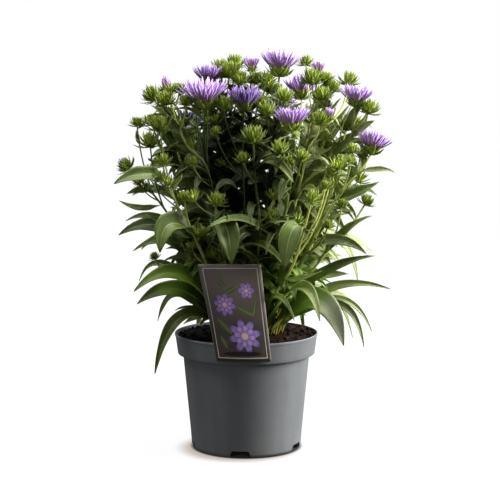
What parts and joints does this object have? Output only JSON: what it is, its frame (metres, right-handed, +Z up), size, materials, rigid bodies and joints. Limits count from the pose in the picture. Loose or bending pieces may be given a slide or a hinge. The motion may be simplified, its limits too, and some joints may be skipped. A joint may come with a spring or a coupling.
{
  "type": "potted stokes' aster",
  "caption": "Bushy flowering perennial with lavender heads and spiky green buds, growing in a round tapered nursery pot with a plain picture label on the rim.",
  "frame": {"origin": "middle of the pot's underside, on the surface that it stands on", "axes": "+Z up along the pot's axis, +X to the right and -Y towards the viewer who sees the label"},
  "size_m": [0.361, 0.2952, 0.522],
  "materials": {
    "pot_plastic": "satin",
    "peat": "matte",
    "crown_fibre": "matte",
    "label_plastic": "satin",
    "shoot_green": "satin",
    "leaf_green": "satin",
    "petals": "matte"
  },
  "bodies": {
    "root": {"pot": "pot_plastic", "potting_soil": "peat", "root_crown": "crown_fibre", "plant_label": "label_plastic", "shoot_01": "shoot_green", "shoot_02": "shoot_green", "shoot_03": "shoot_green", "shoot_04": "shoot_green", "shoot_05": "shoot_green", "shoot_06": "shoot_green", "shoot_07": "shoot_green", "shoot_08": "shoot_green", "shoot_09": "shoot_green", "shoot_10": "shoot_green", "shoot_11": "shoot_green", "shoot_12": "shoot_green", "shoot_13": "shoot_green", "shoot_14": "shoot_green", "shoot_15": "shoot_green", "shoot_16": "shoot_green", "shoot_17": "shoot_green", "shoot_18": "shoot_green", "shoot_19": "shoot_green", "shoot_20": "shoot_green", "shoot_21": "shoot_green", "shoot_22": "shoot_green", "shoot_23": "shoot_green", "shoot_24": "shoot_green", "flower_01": "petals", "flower_02": "petals", "flower_03": "petals", "flower_04": "petals", "flower_05": "petals", "flower_06": "petals", "flower_07": "petals", "flower_08": "petals", "flower_09": "petals", "flower_10": "petals", "flower_11": "petals", "flower_12": "petals", "flower_13": "petals", "flower_14": "petals", "flower_15": "petals", "basal_leaf_01": "leaf_green", "basal_leaf_02": "leaf_green", "basal_leaf_03": "leaf_green", "basal_leaf_04": "leaf_green", "basal_leaf_05": "leaf_green", "basal_leaf_06": "leaf_green", "basal_leaf_07": "leaf_green", "basal_leaf_08": "leaf_green", "basal_leaf_09": "leaf_green", "basal_leaf_10": "leaf_green", "basal_leaf_11": "leaf_green", "basal_leaf_12": "leaf_green", "basal_leaf_13": "leaf_green", "basal_leaf_14": "leaf_green", "basal_leaf_15": "leaf_green", "basal_leaf_16": "leaf_green"}
  },
  "joints": []
}
